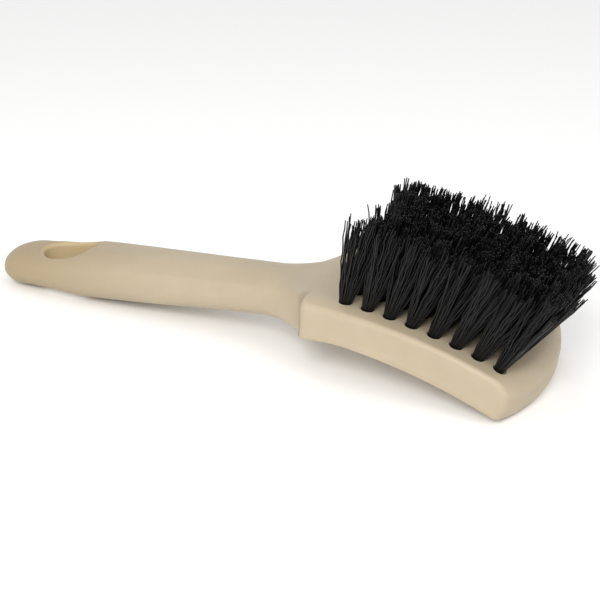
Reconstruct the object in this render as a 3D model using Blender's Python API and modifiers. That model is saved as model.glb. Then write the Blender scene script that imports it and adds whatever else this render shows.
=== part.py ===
"""Whitewall tire brush: a one-piece moulded handle and arched head, tufted with stiff bristle.

The brush lies on its back with the bristles up, the handle's tail towards -X and the toe of the head
towards +X. Its top and bottom are described along a flow line that runs straight through the handle and
bends round the arch of the head; a station is a distance along that line from the tail.
"""
import math
import random

import bmesh
import bpy
from mathutils import Matrix, Vector

MM = 0.001

# Overall plan
TAIL_RADIUS = 12.6 * MM
GRIP_STATION = 42 * MM
GRIP_HALF_WIDTH = 13.4 * MM
NECK_STATION = 114 * MM
NECK_HALF_WIDTH = 11.8 * MM
FLARE_RADIUS = 29.9 * MM
FLARE_TURN = math.radians(56)
CREASE_RADIUS = 1.0 * MM
SHOULDER_STATION = 141 * MM
SHOULDER_RADIUS = 2.8 * MM
HEAD_WIDTH = 57 * MM
HEAD_LENGTH = 77.8 * MM
TOE_BOW = 6.3 * MM
TOE_CORNER_RADIUS = 3.6 * MM
TOE_BULGE = 0.8 * MM
TOE_ROLL_REACH = 7.0 * MM
TOE_ROLL_DROP = 3.2 * MM

# Side view: heights are above the surface that the brush lies on
CROWN_HEIGHT = 28.45 * MM
ARCH_RADIUS = 198 * MM
SHOULDER_TILT = math.radians(2.0)
HEAD_THICKNESS = 12.2 * MM
SHOULDER_THICKNESS = 13.3 * MM
SHOULDER_TAPER = 14 * MM
HANDLE_SLOPE = 0.0915
HANDLE_LINE_HEIGHT = 18.75 * MM
TAIL_HALF_THICKNESS = 7.7 * MM
PALM_STATION = 42 * MM
PALM_HALF_THICKNESS = 9.1 * MM
PALM_LIFT = 0.3 * MM
PALM_LIFT_END_STATION = 80 * MM
NECK_HALF_THICKNESS = 7.7 * MM
RISE_STATION = 127 * MM
WING_STATION = 131 * MM
WING_THICKNESS = 14.8 * MM
KEEL_END_STATION = 168 * MM

# Rounding of the long edges, and the soft ridges along the handle's top
TAIL_FULLNESS = 2.25
TAIL_BACK_FULLNESS = 1.85
HANDLE_FULLNESS = 2.6
EDGE_RADIUS = 2.5 * MM
BACK_EDGE_RADIUS = 1.1 * MM
EDGE_SETTLED_STATION = 137 * MM
RIDGE_START_STATION = 50 * MM
RIDGE_FULL_STATION = 84 * MM
RIDGE_FADE_STATION = 104 * MM
RIDGE_REACH = 0.93
RIDGE_DROP = 0.46
RIDGE_BLEND = 0.12
RIDGE_LIFT = 1.3 * MM

# Hang hole, whose rim runs out in a shallow dish towards the tail
HANG_HOLE_STATION = 28.3 * MM
HANG_HOLE_HALF_LENGTH = 10.2 * MM
HANG_HOLE_HALF_WIDTH = 9.2 * MM
HANG_HOLE_RIM = 1.3 * MM
HANG_HOLE_RIM_DEPTH = 2.0 * MM
HANG_HOLE_DISH = 5.2 * MM
HANG_HOLE_SQUARENESS = 3.2

# Tufts, which lean towards the toe, the near row most
ROWS = 6
TUFTS_IN_ROW = 8
ROW_MARGIN = 7.2 * MM
FIRST_TUFT = 11.4 * MM
TUFT_PITCH = 7.6 * MM
NEAR_SPLAY = math.radians(9)
FAR_SPLAY = math.radians(4)
TOE_SPLAY = math.radians(2)
HOLE_RADIUS = 2.25 * MM
HOLE_DEPTH = 8.0 * MM
HOLE_SIDES = 12
CLEARANCE = 0.3 * MM
TRIM_LENGTH = 27.3 * MM
TRIM_SCATTER = 1.2 * MM
STRANDS = 8
STRAND_WALL = 0.25 * MM
TUFT_SPREAD = 1.7 * MM
TIP_SHARE = 0.55

HEAD_HALF_WIDTH = HEAD_WIDTH / 2
ARCH_START = SHOULDER_STATION - ARCH_RADIUS * math.sin(SHOULDER_TILT)
ROW_PITCH = (HEAD_WIDTH - 2 * ROW_MARGIN) / (ROWS - 1)


def ease(share):
    """A smooth step from 0 to 1 that leaves and arrives level."""
    share = min(max(share, 0.0), 1.0)
    return share * share * (3 - 2 * share)


def eased(knots, station):
    """The height at a station of a line that eases from each knot to the next."""
    before, after = knots[0], knots[-1]
    for knot in knots:
        if knot[0] <= station:
            before = knot
    for knot in reversed(knots):
        if knot[0] > station:
            after = knot
    if after[0] <= before[0]:
        return before[1]
    return before[1] + (after[1] - before[1]) * ease((station - before[0]) / (after[0] - before[0]))


def half_width(station):
    """Half the handle's width, from the round tail to where the flare starts."""
    knots = ((TAIL_RADIUS, TAIL_RADIUS), (GRIP_STATION, GRIP_HALF_WIDTH), (NECK_STATION, NECK_HALF_WIDTH))
    return eased(knots, station)


def half_thickness(station):
    knots = (
        (TAIL_RADIUS, TAIL_HALF_THICKNESS),
        (PALM_STATION, PALM_HALF_THICKNESS),
        (NECK_STATION, NECK_HALF_THICKNESS),
    )
    return eased(knots, station)


def tilt(station):
    """How far the top face leans towards the toe: none in the handle, and growing round the arch."""
    if station < SHOULDER_STATION:
        return SHOULDER_TILT * ease((station - RISE_STATION) / (SHOULDER_STATION - RISE_STATION))
    return SHOULDER_TILT + (station - SHOULDER_STATION) / ARCH_RADIUS


def handle_top(station):
    line = HANDLE_LINE_HEIGHT - HANDLE_SLOPE * (SHOULDER_STATION - station)
    line += eased(((TAIL_RADIUS, 0.0), (PALM_STATION, PALM_LIFT), (PALM_LIFT_END_STATION, 0.0)), station)
    return line + half_thickness(station)


def top_line(station):
    """The point of the top face's middle line at a station, as X and Z."""
    if station >= SHOULDER_STATION:
        lean = tilt(station)
        return (
            ARCH_START + ARCH_RADIUS * math.sin(lean),
            CROWN_HEIGHT - ARCH_RADIUS * (1 - math.cos(lean)),
        )
    if station <= RISE_STATION:
        return station, handle_top(station)
    # A cubic joins the handle's slope to the arch.
    span = SHOULDER_STATION - RISE_STATION
    t = (station - RISE_STATION) / span
    start = handle_top(RISE_STATION)
    end = CROWN_HEIGHT - ARCH_RADIUS * (1 - math.cos(SHOULDER_TILT))
    start_rise = HANDLE_SLOPE * span
    end_rise = -math.tan(SHOULDER_TILT) * span
    height = (
        (1 + 2 * t) * (1 - t) ** 2 * start
        + t * (1 - t) ** 2 * start_rise
        + t * t * (3 - 2 * t) * end
        - t * t * (1 - t) * end_rise
    )
    return station, height


def placed(station, across, depth):
    """A point in space, from its station, its distance across and its depth under the top face."""
    x, z = top_line(station)
    lean = tilt(station)
    return Vector((x - depth * math.sin(lean), across, z - depth * math.cos(lean)))


def edge_thickness(station):
    """The block's thickness beside its edge, from the handle through the neck's wings to the head."""
    if station <= NECK_STATION:
        return 2 * half_thickness(station)
    knots = (
        (NECK_STATION, 2 * NECK_HALF_THICKNESS),
        (WING_STATION, WING_THICKNESS),
        (SHOULDER_STATION, SHOULDER_THICKNESS),
        (SHOULDER_STATION + SHOULDER_TAPER, HEAD_THICKNESS),
    )
    return eased(knots, station)


def middle_thickness(station):
    """The thickness along the middle, where the neck runs out under the head as a low keel."""
    if station <= RISE_STATION:
        return 2 * half_thickness(station)
    return eased(((RISE_STATION, 2 * NECK_HALF_THICKNESS), (KEEL_END_STATION, HEAD_THICKNESS)), station)


def rounding(station, width, radius, tail_fullness):
    """Reach, height and fullness of a rounded long edge, which has the given radius once on the head."""
    share = ease((station - NECK_STATION) / (EDGE_SETTLED_STATION - NECK_STATION))
    radius = min(radius, 0.9 * SHOULDER_RADIUS)
    reach = width + (radius - width) * share
    height = half_thickness(station) + (radius - half_thickness(station)) * share
    fullness = eased(((TAIL_RADIUS, tail_fullness), (GRIP_STATION, HANDLE_FULLNESS)), station)
    fullness += (2 - fullness) * share
    return reach, height, fullness


def arc(centre, radius, start, end, steps):
    """Points and outward directions round an arc, without its first point."""
    found = []
    for i in range(1, steps + 1):
        angle = start + (end - start) * i / steps
        way = (math.cos(angle), math.sin(angle))
        found.append(((centre[0] + radius * way[0], centre[1] + radius * way[1]), way))
    return found


def hole_point(angle, sunk_share):
    """Plan point of the hole's lining at an angle from its tail end, from 1 on its wall to 0 on its rim."""
    rim = HANG_HOLE_RIM
    power = 1.0
    if angle < math.pi / 2:
        # Towards the tail the rim runs out in a shallow dish.
        rim += (HANG_HOLE_DISH - HANG_HOLE_RIM) * math.cos(angle) ** 3
    else:
        power = 2 / HANG_HOLE_SQUARENESS
    out = rim * (1 - sunk_share)
    along = math.copysign(abs(math.cos(angle)) ** power, math.cos(angle))
    station = HANG_HOLE_STATION - (HANG_HOLE_HALF_LENGTH + out) * along
    return station, (HANG_HOLE_HALF_WIDTH + out) * max(math.sin(angle), 0.0) ** power


def handle_outline():
    """The outline's half from the tail to the neck: points, outward directions, and the angle round the hang
    hole where they lie beside it."""
    outline = [((0.0, 0.0), (-1.0, 0.0), None)]
    for point, way in arc((TAIL_RADIUS, 0), TAIL_RADIUS, math.pi, math.pi / 2, 7):
        outline.append((point, way, None))
    hole_steps = 18
    for i in range(hole_steps + 1):
        angle = math.pi * i / hole_steps
        station = hole_point(angle, 0.0)[0]
        outline.append(((station, half_width(station)), (0.0, 1.0), angle))
    start = hole_point(math.pi, 0.0)[0]
    steps = 12
    for i in range(1, steps + 1):
        station = start + (NECK_STATION - start) * i / steps
        outline.append(((station, half_width(station)), (0.0, 1.0), None))
    return outline


def head_outline():
    """The outline's half from the neck, by the flare, crease, shoulder and side, to the toe."""
    centre = (NECK_STATION, NECK_HALF_WIDTH + FLARE_RADIUS)
    found = []
    flare_steps = 9
    for i in range(1, flare_steps + 1):
        turn = FLARE_TURN * i / flare_steps
        point = (centre[0] + FLARE_RADIUS * math.sin(turn), centre[1] - FLARE_RADIUS * math.cos(turn))
        found.append((point, (-math.sin(turn), math.cos(turn))))
    # The crease turns on more tightly until the outline runs straight across.
    end, way = found[-1]
    centre = (end[0] + CREASE_RADIUS * way[0], end[1] + CREASE_RADIUS * way[1])
    crease_steps = 3
    for i in range(1, crease_steps):
        turn = FLARE_TURN + (math.pi / 2 - FLARE_TURN) * i / crease_steps
        point = (centre[0] + CREASE_RADIUS * math.sin(turn), centre[1] - CREASE_RADIUS * math.cos(turn))
        found.append((point, (-math.sin(turn), math.cos(turn))))
    back = centre[0] + CREASE_RADIUS
    corner = (back + SHOULDER_RADIUS, HEAD_HALF_WIDTH - SHOULDER_RADIUS)
    found.append(((back, corner[1]), (-1.0, 0.0)))
    found += arc(corner, SHOULDER_RADIUS, math.pi, math.pi / 2, 4)
    # The toe bows outwards, and a smaller arc rounds its corner.
    bow = (HEAD_HALF_WIDTH**2 + TOE_BOW**2) / (2 * TOE_BOW)
    end = SHOULDER_STATION + HEAD_LENGTH
    bow_centre = end - bow
    inner = HEAD_HALF_WIDTH - TOE_CORNER_RADIUS
    toe_corner = (bow_centre + math.sqrt((bow - TOE_CORNER_RADIUS) ** 2 - inner**2), inner)
    meet = math.atan2(inner, toe_corner[0] - bow_centre)
    start = corner[0]
    steps = 14
    for i in range(1, steps + 1):
        station = start + (toe_corner[0] - start) * math.sin(math.pi / 2 * i / steps)
        found.append(((station, HEAD_HALF_WIDTH), (0.0, 1.0)))
    found += arc(toe_corner, TOE_CORNER_RADIUS, math.pi / 2, meet, 4)
    found += arc((bow_centre, 0), bow, meet, 0, 7)
    return [(point, way, None) for point, way in found]


EDGE_STEPS = 6
FACE_STEPS = 3
RIM_STEPS = 4
WALL_STEPS = 2


def edge_drop(share, fullness):
    """The rounded edge's drop, as a share of its height, at a share of its reach from the outline."""
    return 1 - (1 - (1 - share) ** fullness) ** (1 / fullness)


def ridged_drop(share):
    """The drop of a crowned face that meets a steep side in a soft ridge, at a share of its reach."""
    out = 1 - share
    crown = 1 - RIDGE_DROP * (out / RIDGE_REACH) ** 2
    side = share / (1 - RIDGE_REACH) * (1 - RIDGE_DROP)
    mix = min(max(0.5 + 0.5 * (side - crown) / RIDGE_BLEND, 0.0), 1.0)
    return 1 - max(side + (crown - side) * mix - RIDGE_BLEND * mix * (1 - mix), 0.0)


def face_and_edge(point, way, hole_angle, rounded, ridge=0.0):
    """Plan points from the middle, or the hole's rim, out to the outline, each with its drop at the edge."""
    station, across = point
    reach, height, fullness = rounded
    found = []
    first = math.pi / 2
    if hole_angle is not None:
        rim = hole_point(hole_angle, 0.0)[1]
        first = math.acos((rim / across) ** (fullness / 2))
        found += [(station, rim, height * edge_drop(1 - rim / across, fullness))] * FACE_STEPS
    elif ridge:
        # The whole half of the face is crowned, so its points are spread from the middle to the outline.
        found += [(station, 0.0, -RIDGE_LIFT * ridge)] * FACE_STEPS
    else:
        inner = (station - reach * way[0], across - reach * way[1])
        found += [(inner[0], inner[1] * i / FACE_STEPS, 0.0) for i in range(FACE_STEPS)]
    for i in range(EDGE_STEPS + 1):
        share = 1 - math.cos(first * (1 - i / EDGE_STEPS)) ** (2 / fullness)
        share = min(max(share, 0.0), 1.0)
        x = station - share * reach * way[0]
        y = across - share * reach * way[1]
        drop = edge_drop(share, fullness)
        if ridge:
            drop += (ridged_drop(share) - drop) * ridge
        found.append((x, y, height * drop - RIDGE_LIFT * ridge * (1 - drop)))
    return found


def toe_roll(station, across):
    """How far the top face has rolled over towards the toe at a plan point."""
    bow = (HEAD_HALF_WIDTH**2 + TOE_BOW**2) / (2 * TOE_BOW)
    bow_centre = SHOULDER_STATION + HEAD_LENGTH - bow
    if station < bow_centre:
        return 0.0
    inside = bow - math.hypot(station - bow_centre, across)
    return TOE_ROLL_DROP * max(1 - inside / TOE_ROLL_REACH, 0.0) ** 2


def shell_ring(point, way, hole_angle):
    """One section of half the block, from the middle of the top round the edge to the middle of the back."""
    station, across = point
    width = TAIL_RADIUS if station < TAIL_RADIUS else across
    ridge = 0.0
    if station > RIDGE_START_STATION:
        ridge = ease((station - RIDGE_START_STATION) / (RIDGE_FULL_STATION - RIDGE_START_STATION))
        ridge *= 1 - ease((station - RIDGE_FADE_STATION) / (RISE_STATION - RIDGE_FADE_STATION))
    top = face_and_edge(point, way, hole_angle, rounding(station, width, EDGE_RADIUS, TAIL_FULLNESS), ridge)
    back = face_and_edge(
        point, way, hole_angle, rounding(station, width, BACK_EDGE_RADIUS, TAIL_BACK_FULLNESS)
    )
    top = [(x, y, drop + toe_roll(x, y)) for x, y, drop in top]
    ring = [placed(*step) for step in top]
    widest = max(across, NECK_HALF_WIDTH)
    top_end = top[-1]
    wall = []
    for x, y, drop in reversed(back):
        edge = edge_thickness(x)
        out = min(abs(y) / widest, 1.0)
        under = edge + (middle_thickness(x) - edge) * (1 - out * out) ** 2
        wall.append((x, y, under - drop))
    # The toe's face bulges a little between its two edges.
    for i in range(1, WALL_STEPS):
        share = i / WALL_STEPS
        bulge = 4 * share * (1 - share) * TOE_BULGE * max(way[0], 0.0)
        depth = top_end[2] + (wall[0][2] - top_end[2]) * share
        ring.append(placed(station + bulge * way[0], across + bulge * way[1], depth))
    return ring + [placed(*step) for step in wall]


def hole_ring(point, hole_angle):
    """One section of the hang hole's lining, from the back's rim up to the top's."""
    lining = []
    for i in range(RIM_STEPS + 1):
        turn = math.pi / 2 * i / RIM_STEPS
        sunk = HANG_HOLE_RIM_DEPTH * (1 - math.cos(turn))
        x, y = hole_point(hole_angle, math.sin(turn))
        share = 1 - y / half_width(x)
        depths = []
        for tail_fullness in (TAIL_FULLNESS, TAIL_BACK_FULLNESS):
            fullness = rounding(x, half_width(x), EDGE_RADIUS, tail_fullness)[2]
            depths.append(half_thickness(x) * edge_drop(share, fullness) + sunk)
        lining.append((placed(x, y, depths[0]), placed(x, y, 2 * half_thickness(x) - depths[1])))
    return [back for _, back in lining] + [top for top, _ in reversed(lining)]


def add_grid(mesh, rings):
    """Faces between neighbouring rings of points."""
    rows = [[mesh.verts.new(point) for point in ring] for ring in rings]
    for near, far in zip(rows, rows[1:]):
        for j in range(len(near) - 1):
            mesh.faces.new((near[j], far[j], far[j + 1], near[j + 1]))


def material(name, colour, roughness):
    made = bpy.data.materials.new(name)
    made.use_nodes = True
    surface = made.node_tree.nodes["Principled BSDF"]
    surface.inputs["Base Color"].default_value = (*colour, 1.0)
    surface.inputs["Roughness"].default_value = roughness
    surface.inputs["Metallic"].default_value = 0.0
    return made


def add_object(name, mesh, collection, parent=None):
    """An object holding a bmesh, which is freed."""
    data = bpy.data.meshes.new(name)
    mesh.to_mesh(data)
    mesh.free()
    made = bpy.data.objects.new(name, data)
    made.parent = parent
    collection.objects.link(made)
    return made


def add_cut(target, cutter):
    cut = target.modifiers.new(cutter.name, "BOOLEAN")
    cut.operation = "DIFFERENCE"
    cut.solver = "EXACT"
    cut.object = cutter
    cutter.hide_render = True
    cutter.display_type = "WIRE"


def tuft_matrix(row, place):
    """Where a tuft's hole meets the top face, with Z along the tuft."""
    along = FIRST_TUFT + TUFT_PITCH * place
    across = ROW_PITCH * (row - (ROWS - 1) / 2)
    station = SHOULDER_STATION + along
    splay = NEAR_SPLAY + (FAR_SPLAY - NEAR_SPLAY) * row / (ROWS - 1) + TOE_SPLAY * place / (TUFTS_IN_ROW - 1)
    lean = tilt(station) + splay
    return Matrix.Translation(placed(station, across, 0.0)) @ Matrix.Rotation(lean, 4, "Y")


def moulded_block(parts, cutters, parent):
    """Handle and head in one moulding, with its hang hole, flats to lie on and drilled tuft holes."""
    half = bmesh.new()
    outline = handle_outline() + head_outline()
    add_grid(half, [shell_ring(*entry) for entry in outline])
    add_grid(half, [hole_ring(point, angle) for point, _, angle in outline if angle is not None])
    bmesh.ops.remove_doubles(half, verts=half.verts[:], dist=0.01 * MM)
    block = add_object("block", half, parts, parent)
    mirror = block.modifiers.new("other half", "MIRROR")
    mirror.use_axis = (False, True, False)
    mirror.merge_threshold = 0.01 * MM

    ground = bmesh.new()
    length = SHOULDER_STATION + HEAD_LENGTH
    depth = 10 * MM
    bmesh.ops.create_cube(ground, size=1.0)
    bmesh.ops.scale(ground, vec=(1.5 * length, 2 * HEAD_WIDTH, depth), verts=ground.verts)
    bmesh.ops.translate(ground, vec=(length / 2, 0, -depth / 2), verts=ground.verts)
    add_cut(block, add_object("resting_flats", ground, cutters, parent))

    drills = bmesh.new()
    above = 3 * MM
    for row in range(ROWS):
        for place in range(TUFTS_IN_ROW):
            middle = Matrix.Translation((0, 0, (above - HOLE_DEPTH) / 2))
            bmesh.ops.create_cone(
                drills,
                cap_ends=True,
                segments=HOLE_SIDES,
                radius1=HOLE_RADIUS,
                radius2=HOLE_RADIUS,
                depth=above + HOLE_DEPTH,
                matrix=tuft_matrix(row, place) @ middle,
            )
    add_cut(block, add_object("tuft_holes", drills, cutters, parent))
    block.data.materials.append(material("cream_plastic", (0.72, 0.62, 0.44), 0.5))
    return block


def grown(mesh, faces, shares, rise, reach, taper):
    """Extrudes each face into the next length of its strand, leaning out from the tuft's middle."""
    faces = bmesh.ops.extrude_discrete_faces(mesh, faces=faces)["faces"]
    for face, (up, out, swing) in zip(faces, shares):
        middle = face.calc_center_median()
        away = Vector((middle.x, middle.y, 0)).normalized()
        aside = Vector((-away.y, away.x, 0))
        moved = middle + away * out * reach + aside * swing * reach
        moved.z = up * rise
        for vertex in face.verts:
            vertex.co = moved + (vertex.co - middle) * taper
    return faces


def tuft(name, row, place, parts, parent, look, chance):
    """Stiff strands that spread from the packed root which the anchor wire holds in its hole."""
    mesh = bmesh.new()
    radius = HOLE_RADIUS * math.cos(math.pi / HOLE_SIDES) - CLEARANCE
    sunk = 0.2 * MM
    depth = HOLE_DEPTH - CLEARANCE - sunk
    bmesh.ops.create_cone(
        mesh,
        cap_ends=True,
        segments=STRANDS,
        radius1=radius,
        radius2=radius,
        depth=depth,
        matrix=Matrix.Translation((0, 0, -sunk - depth / 2)),
    )
    top = max(mesh.faces, key=lambda face: face.calc_center_median().z)
    sectors = bmesh.ops.poke(mesh, faces=[top])["faces"]
    bmesh.ops.inset_individual(mesh, faces=sectors, thickness=STRAND_WALL, use_even_offset=True)
    shares = []
    for _ in sectors:
        up = TRIM_LENGTH + chance.uniform(-TRIM_SCATTER, TRIM_SCATTER)
        shares.append((up, chance.uniform(0.6, 1.5), chance.uniform(-0.35, 0.35)))
    taper = math.sqrt(TIP_SHARE)
    halfway = grown(mesh, sectors, shares, 0.5, 0.4 * TUFT_SPREAD, taper)
    grown(mesh, halfway, shares, 1.0, 0.8 * TUFT_SPREAD, taper)
    made = add_object(name, mesh, parts, parent)
    made.matrix_local = tuft_matrix(row, place)
    made.data.materials.append(look)


def centre_on_origin(root, parts):
    """Moves the whole brush so that its bounds are centred over the origin."""
    bpy.context.view_layer.update()
    graph = bpy.context.evaluated_depsgraph_get()
    xs = []
    for part in parts.objects:
        seen = part.evaluated_get(graph)
        xs += [(seen.matrix_world @ vertex.co).x for vertex in seen.data.vertices]
    root.location.x = -(min(xs) + max(xs)) / 2


def main():
    for old in list(bpy.data.objects):
        bpy.data.objects.remove(old, do_unlink=True)
    scene = bpy.context.scene
    parts = bpy.data.collections.new("whitewall tire brush")
    cutters = bpy.data.collections.new("cutters")
    scene.collection.children.link(parts)
    scene.collection.children.link(cutters)
    cutters.hide_render = True
    root = bpy.data.objects.new("brush", None)
    scene.collection.objects.link(root)

    moulded_block(parts, cutters, root)
    look = material("black_bristle", (0.012, 0.012, 0.013), 0.45)
    chance = random.Random(8)
    for row in range(ROWS):
        for place in range(TUFTS_IN_ROW):
            tuft(f"tuft_{row + 1}_{place + 1}", row, place, parts, root, look, chance)
    centre_on_origin(root, parts)


main()
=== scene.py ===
# Whitewall tire brush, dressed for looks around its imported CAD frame. Lengths are in metres, +X
# runs from the handle's tail to the toe of the head, and the brush lies with its bristles up.
import math

import bmesh
import bpy
from mathutils import Matrix, Vector


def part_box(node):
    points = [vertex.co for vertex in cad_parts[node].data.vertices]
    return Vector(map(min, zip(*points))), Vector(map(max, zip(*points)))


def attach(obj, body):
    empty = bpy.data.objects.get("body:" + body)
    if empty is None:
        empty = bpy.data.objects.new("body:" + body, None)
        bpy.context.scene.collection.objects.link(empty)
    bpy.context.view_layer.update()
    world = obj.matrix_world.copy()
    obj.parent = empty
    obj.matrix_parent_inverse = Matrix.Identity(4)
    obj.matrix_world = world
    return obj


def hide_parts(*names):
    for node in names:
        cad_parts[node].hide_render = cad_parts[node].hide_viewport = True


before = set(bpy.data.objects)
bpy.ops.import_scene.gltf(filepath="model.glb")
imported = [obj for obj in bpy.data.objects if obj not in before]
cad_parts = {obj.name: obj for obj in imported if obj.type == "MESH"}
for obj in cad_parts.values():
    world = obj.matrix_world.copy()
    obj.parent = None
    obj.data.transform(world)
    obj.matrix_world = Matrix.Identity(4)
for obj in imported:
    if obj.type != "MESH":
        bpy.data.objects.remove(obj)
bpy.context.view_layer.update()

MM = 0.001
TAIL_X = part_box("block")[0].x


# Moulded block: handle and head are one injection moulding in cream polypropylene. Its top and back
# follow a line that runs straight through the handle and bends round the head's arch. A station is
# a distance along that line from the tail.
TAIL_RADIUS = 12.6 * MM
GRIP_STATION = 42 * MM
GRIP_HALF_WIDTH = 13.4 * MM
NECK_STATION = 114 * MM
NECK_HALF_WIDTH = 11.8 * MM
FLARE_RADIUS = 29.9 * MM
FLARE_TURN = math.radians(56)
CREASE_RADIUS = 0.6 * MM
SHOULDER_STATION = 141 * MM
SHOULDER_RADIUS = 2.8 * MM
HEAD_WIDTH = 57 * MM
HEAD_LENGTH = 77.8 * MM
TOE_BOW = 6.3 * MM
TOE_CORNER_RADIUS = 2.6 * MM
TOE_BULGE = 0.8 * MM
LIP = 0.5 * MM
LIP_POWER = 8
LIP_SIDE_START = 24.8 * MM
LIP_SIDE_EASE = 2 * MM
LIP_TOE_EASE = 5 * MM
TOE_ROLL_REACH = 7.0 * MM
TOE_ROLL_DROP = 3.2 * MM
SIDE_ROLL_REACH = 6.5 * MM
SIDE_ROLL_DROP = 1.6 * MM
SIDE_ROLL_LENGTH = 55 * MM

CROWN_HEIGHT = 28.45 * MM
ARCH_RADIUS = 198 * MM
SHOULDER_TILT = math.radians(2.0)
HEAD_THICKNESS = 12.2 * MM
SHOULDER_THICKNESS = 13.3 * MM
SHOULDER_TAPER = 14 * MM
HANDLE_SLOPE = 0.0915
HANDLE_LINE_HEIGHT = 18.75 * MM
TAIL_HALF_THICKNESS = 7.7 * MM
PALM_STATION = 42 * MM
PALM_HALF_THICKNESS = 9.1 * MM
PALM_LIFT = 0.3 * MM
PALM_LIFT_END_STATION = 80 * MM
NECK_HALF_THICKNESS = 7.7 * MM
RISE_STATION = 127 * MM
WING_STATION = 131 * MM
WING_THICKNESS = 14.8 * MM
KEEL_END_STATION = 168 * MM

TAIL_FULLNESS = 2.25
TAIL_BACK_FULLNESS = 1.85
HANDLE_FULLNESS = 2.6
EDGE_RADIUS = 1.7 * MM
BACK_EDGE_RADIUS = 1.1 * MM
EDGE_SETTLED_STATION = 137 * MM
RIDGE_START_STATION = 50 * MM
RIDGE_FULL_STATION = 84 * MM
RIDGE_FADE_STATION = 104 * MM
RIDGE_REACH = 0.93
RIDGE_DROP = 0.46
RIDGE_BLEND = 0.12
RIDGE_LIFT = 1.3 * MM

HANG_HOLE_STATION = 28.6 * MM
HANG_HOLE_HALF_LENGTH = 10.4 * MM
HANG_HOLE_HALF_WIDTH = 8.5 * MM
HANG_HOLE_RIM = 2.3 * MM
HANG_HOLE_RIM_DEPTH = 2.3 * MM
HANG_HOLE_DISH = 3.4 * MM
HANG_HOLE_DISH_POWER = 3
HANG_HOLE_SQUARENESS = 3.0

ROWS = 6
TUFTS_IN_ROW = 8
ROW_MARGIN = 7.2 * MM
FIRST_TUFT = 11.4 * MM
TUFT_PITCH = 7.6 * MM
NEAR_SPLAY = math.radians(9)
FAR_SPLAY = math.radians(4)
TOE_SPLAY = math.radians(2)
HOLE_RADIUS = 2.25 * MM
HOLE_DEPTH = 8.0 * MM

HEAD_HALF_WIDTH = HEAD_WIDTH / 2
ARCH_START = SHOULDER_STATION - ARCH_RADIUS * math.sin(SHOULDER_TILT)
ROW_PITCH = (HEAD_WIDTH - 2 * ROW_MARGIN) / (ROWS - 1)
DRILL_START = 2 * MM
GROUND_DEPTH = 10 * MM
MERGE_DISTANCE = 0.005 * MM
SHARP_ANGLE = math.radians(38)

EDGE_STEPS = 16
FACE_STEPS = 8
WALL_STEPS = 6
RIM_STEPS = 8
TAIL_STEPS = 24
HANG_HOLE_STEPS = 60
HANDLE_STEPS = 34
FLARE_STEPS = 26
CREASE_STEPS = 6
SHOULDER_STEPS = 12
SIDE_STEPS = 44
TOE_CORNER_STEPS = 14
TOE_STEPS = 18
DRILL_SIDES = 24


def ease(share):
    """A smooth step from 0 to 1 that leaves and arrives level."""
    share = min(max(share, 0.0), 1.0)
    return share * share * (3 - 2 * share)


def eased(knots, station):
    """The height at a station of a line that eases from each knot to the next."""
    before, after = knots[0], knots[-1]
    for knot in knots:
        if knot[0] <= station:
            before = knot
    for knot in reversed(knots):
        if knot[0] > station:
            after = knot
    if after[0] <= before[0]:
        return before[1]
    share = ease((station - before[0]) / (after[0] - before[0]))
    return before[1] + (after[1] - before[1]) * share


def half_width(station):
    knots = (
        (TAIL_RADIUS, TAIL_RADIUS),
        (GRIP_STATION, GRIP_HALF_WIDTH),
        (NECK_STATION, NECK_HALF_WIDTH),
    )
    return eased(knots, station)


def half_thickness(station):
    knots = (
        (TAIL_RADIUS, TAIL_HALF_THICKNESS),
        (PALM_STATION, PALM_HALF_THICKNESS),
        (NECK_STATION, NECK_HALF_THICKNESS),
    )
    return eased(knots, station)


def tilt(station):
    """How far the top face leans towards the toe: none in the handle, and more round the arch."""
    if station < SHOULDER_STATION:
        return SHOULDER_TILT * ease((station - RISE_STATION) / (SHOULDER_STATION - RISE_STATION))
    return SHOULDER_TILT + (station - SHOULDER_STATION) / ARCH_RADIUS


def handle_top(station):
    line = HANDLE_LINE_HEIGHT - HANDLE_SLOPE * (SHOULDER_STATION - station)
    knots = ((TAIL_RADIUS, 0.0), (PALM_STATION, PALM_LIFT), (PALM_LIFT_END_STATION, 0.0))
    return line + eased(knots, station) + half_thickness(station)


def top_line(station):
    """The point of the top face's middle line at a station, as X and Z."""
    if station >= SHOULDER_STATION:
        lean = tilt(station)
        return (
            ARCH_START + ARCH_RADIUS * math.sin(lean),
            CROWN_HEIGHT - ARCH_RADIUS * (1 - math.cos(lean)),
        )
    if station <= RISE_STATION:
        return station, handle_top(station)
    # A cubic joins the handle's slope to the arch.
    span = SHOULDER_STATION - RISE_STATION
    t = (station - RISE_STATION) / span
    start = handle_top(RISE_STATION)
    end = CROWN_HEIGHT - ARCH_RADIUS * (1 - math.cos(SHOULDER_TILT))
    height = (
        (1 + 2 * t) * (1 - t) ** 2 * start
        + t * (1 - t) ** 2 * HANDLE_SLOPE * span
        + t * t * (3 - 2 * t) * end
        + t * t * (1 - t) * math.tan(SHOULDER_TILT) * span
    )
    return station, height


def placed(station, across, depth):
    """A point in space, from its station, its distance across and its depth under the top face."""
    x, z = top_line(station)
    lean = tilt(station)
    return Vector((TAIL_X + x - depth * math.sin(lean), across, z - depth * math.cos(lean)))


def edge_thickness(station):
    """The block's thickness beside its edge, from the handle through the wings to the head."""
    if station <= NECK_STATION:
        return 2 * half_thickness(station)
    knots = (
        (NECK_STATION, 2 * NECK_HALF_THICKNESS),
        (WING_STATION, WING_THICKNESS),
        (SHOULDER_STATION, SHOULDER_THICKNESS),
        (SHOULDER_STATION + SHOULDER_TAPER, HEAD_THICKNESS),
    )
    return eased(knots, station)


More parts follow.
